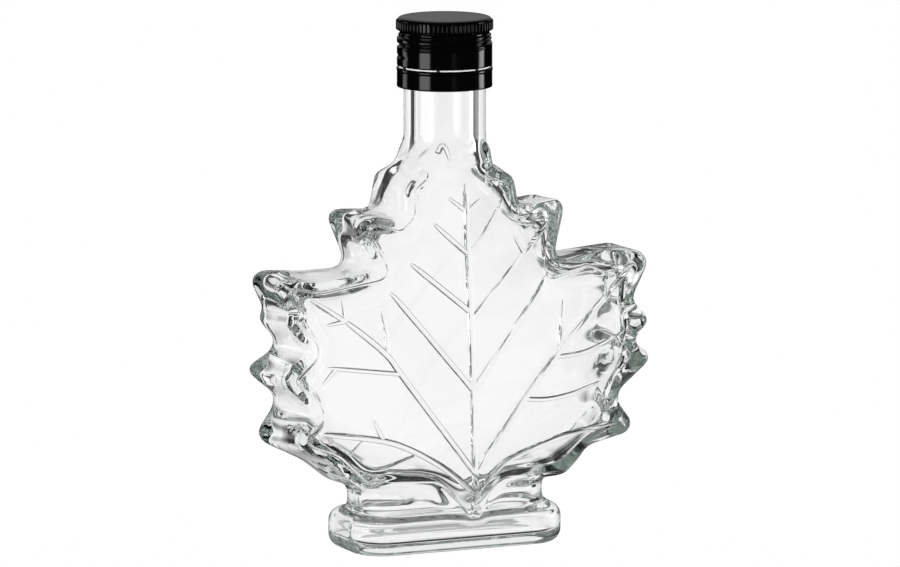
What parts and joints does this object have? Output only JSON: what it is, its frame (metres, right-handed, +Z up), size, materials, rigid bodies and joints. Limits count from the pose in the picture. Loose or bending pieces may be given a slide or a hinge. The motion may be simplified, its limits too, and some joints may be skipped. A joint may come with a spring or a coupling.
{
  "type": "maple leaf bottle",
  "caption": "Flat clear glass bottle in the shape of a maple leaf, with raised veins, a rounded rectangular foot, a round neck and a black screw cap with a tear ring.",
  "frame": {"origin": "on the neck's axis, at the flat underside of the foot", "axes": "+Z up along the neck, the leaf's veined face towards -Y, +X to the right as that face is seen"},
  "size_m": [0.1375, 0.0424, 0.1781],
  "materials": {
    "clear_glass": "clear colourless moulded glass with a faint grey-green tint in thick places",
    "black_lacquer": "glossy black lacquer on rolled aluminium"
  },
  "bodies": {
    "root": {"bottle": "clear_glass", "cap": "black_lacquer"}
  },
  "joints": []
}
